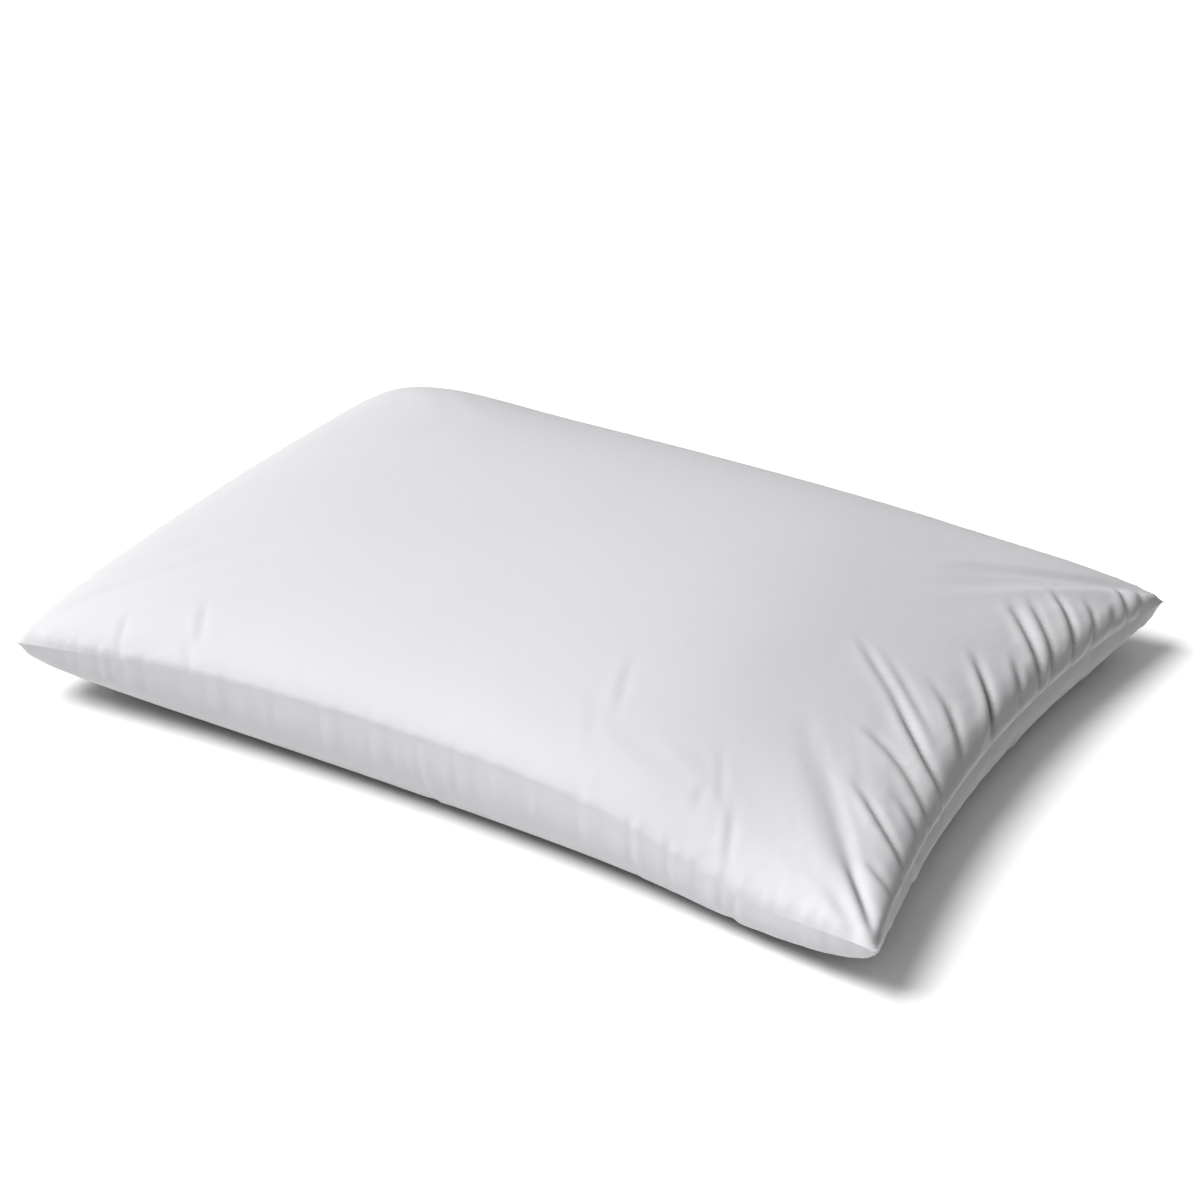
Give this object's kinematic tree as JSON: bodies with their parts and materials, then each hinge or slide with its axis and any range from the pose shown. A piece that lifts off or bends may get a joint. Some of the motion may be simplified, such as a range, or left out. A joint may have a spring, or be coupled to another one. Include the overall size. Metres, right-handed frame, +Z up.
{
  "type": "bed pillow",
  "caption": "Plump rectangular bed pillow lying flat: two panels of plain white ticking joined by a knife-edge seam, with puckered corners, over a soft fibre fill.",
  "frame": {"origin": "on the floor, under the middle of the pillow", "axes": "+X along the length, away from the end with the closing seam; +Y across the width, towards the back long side; +Z up"},
  "size_m": [0.6746, 0.4866, 0.12],
  "materials": {
    "ticking": "matt, close plain weave",
    "fibre": "soft, matt, carded fibre",
    "thread": "satin, twisted",
    "label": "smooth satin ribbon"
  },
  "bodies": {
    "root": {"upper_panel": "ticking", "lower_panel": "ticking", "fibre_fill": "fibre", "seam_needle_thread": "thread", "seam_bobbin_thread": "thread", "overlock_thread": "thread", "closing_needle_thread": "thread", "closing_bobbin_thread": "thread", "care_label": "label"}
  },
  "joints": []
}
